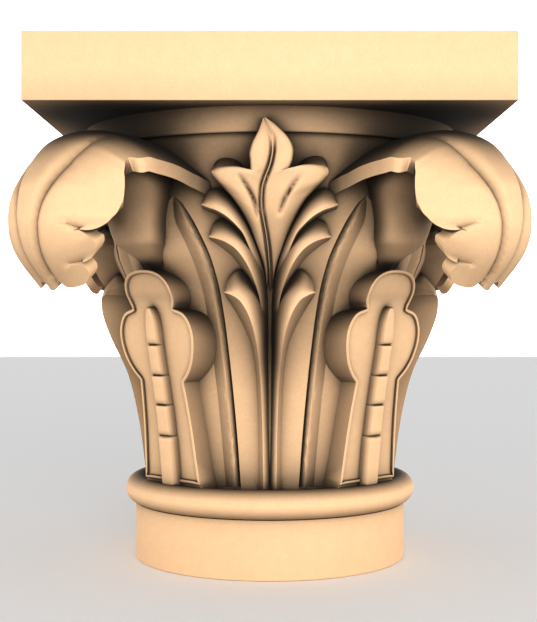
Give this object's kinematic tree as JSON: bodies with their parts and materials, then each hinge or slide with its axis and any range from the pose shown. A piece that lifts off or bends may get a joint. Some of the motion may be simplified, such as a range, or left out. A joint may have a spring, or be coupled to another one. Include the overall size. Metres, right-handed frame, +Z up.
{
  "type": "corinthian capital",
  "caption": "Carved stone capital: round neck and ring, leafy bell with faces of curling palmettes, hooded corner leaves and a plain square abacus.",
  "frame": {"origin": "centre of the flat underside of the neck, where the capital stands on its shaft", "axes": "+Z up along the column's axis, towards the abacus; -Y towards one of the four faces, which are alike; the corner leaves point along the diagonals"},
  "size_m": [0.532, 0.532, 0.535],
  "materials": {
    "stone": "fine-grained honey-coloured limestone, tooled smooth, matt"
  },
  "bodies": {
    "root": {"capital": "stone"}
  },
  "joints": []
}
